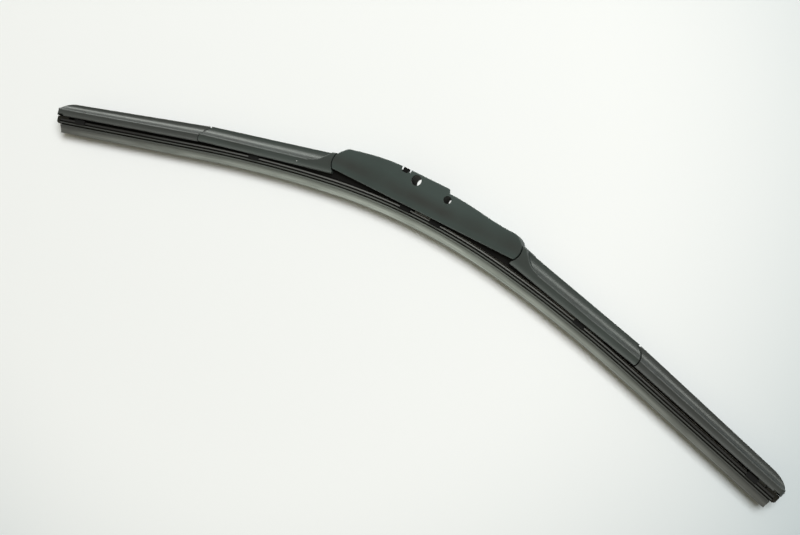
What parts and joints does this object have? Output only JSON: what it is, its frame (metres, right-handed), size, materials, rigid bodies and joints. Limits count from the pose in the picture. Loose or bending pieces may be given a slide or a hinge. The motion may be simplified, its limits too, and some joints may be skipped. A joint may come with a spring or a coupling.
{
  "type": "wiper blade",
  "caption": "Hybrid windscreen wiper blade with hinged spoiler covers over pressed levers, an arm window with side-pin holes and a bowed rubber element.",
  "frame": {"origin": "centre of the bounding box, on the table under the blade's back", "axes": "+X along the blade, +Y from the rubber lip towards the fin, +Z from the back towards the scooped front, which lies up"},
  "size_m": [0.5022, 0.0794, 0.0155],
  "materials": {
    "cover_plastic": "satin black",
    "latch_plastic": "matt black",
    "liner_plastic": "matt black",
    "lever_paint": "matt black paint",
    "rivet_steel": "plain",
    "strip_steel": "plain spring steel",
    "rubber": "dull black"
  },
  "bodies": {
    "bridge": {"centre_cover": "cover_plastic", "primary_lever": "lever_paint", "arm_latch": "latch_plastic", "blade_rubber": "rubber", "front_strip": "strip_steel", "rear_strip": "strip_steel", "left_pivot_rivet": "rivet_steel", "left_pivot_liner": "liner_plastic", "right_pivot_rivet": "rivet_steel", "right_pivot_liner": "liner_plastic"},
    "left_inner": {"left_inner_cover": "cover_plastic", "left_secondary_lever": "lever_paint", "left_yoke_rivet": "rivet_steel", "left_yoke_liner": "liner_plastic"},
    "left_outer": {"left_outer_cover": "cover_plastic", "left_yoke": "lever_paint", "left_end_clip": "strip_steel"},
    "right_inner": {"right_inner_cover": "cover_plastic", "right_secondary_lever": "lever_paint", "right_yoke_rivet": "rivet_steel", "right_yoke_liner": "liner_plastic"},
    "right_outer": {"right_outer_cover": "cover_plastic", "right_yoke": "lever_paint", "right_end_clip": "strip_steel"}
  },
  "joints": [
    {"name": "left_bridge_pivot", "type": "hinge", "parent": "bridge", "child": "left_inner", "pos_m": [-0.0556, 0.02477, 0.00775], "axis": [0, 0, -1], "range_deg": [-3, 10], "stiffness_Nm_per_rad": 0.25, "deforming": ["blade_rubber", "front_strip", "rear_strip"]},
    {"name": "left_yoke_pivot", "type": "hinge", "parent": "left_inner", "child": "left_outer", "pos_m": [-0.14492, 0.00069, 0.00775], "axis": [0, 0, -1], "range_deg": [-0.5, 4], "stiffness_Nm_per_rad": 0.25, "deforming": ["blade_rubber", "front_strip", "rear_strip"]},
    {"name": "right_bridge_pivot", "type": "hinge", "parent": "bridge", "child": "right_inner", "pos_m": [0.0556, 0.02477, 0.00775], "axis": [0, 0, 1], "range_deg": [-3, 10], "stiffness_Nm_per_rad": 0.25, "deforming": ["blade_rubber", "front_strip", "rear_strip"]},
    {"name": "right_yoke_pivot", "type": "hinge", "parent": "right_inner", "child": "right_outer", "pos_m": [0.14492, 0.00069, 0.00775], "axis": [0, 0, 1], "range_deg": [-0.5, 4], "stiffness_Nm_per_rad": 0.25, "deforming": ["blade_rubber", "front_strip", "rear_strip"]}
  ]
}
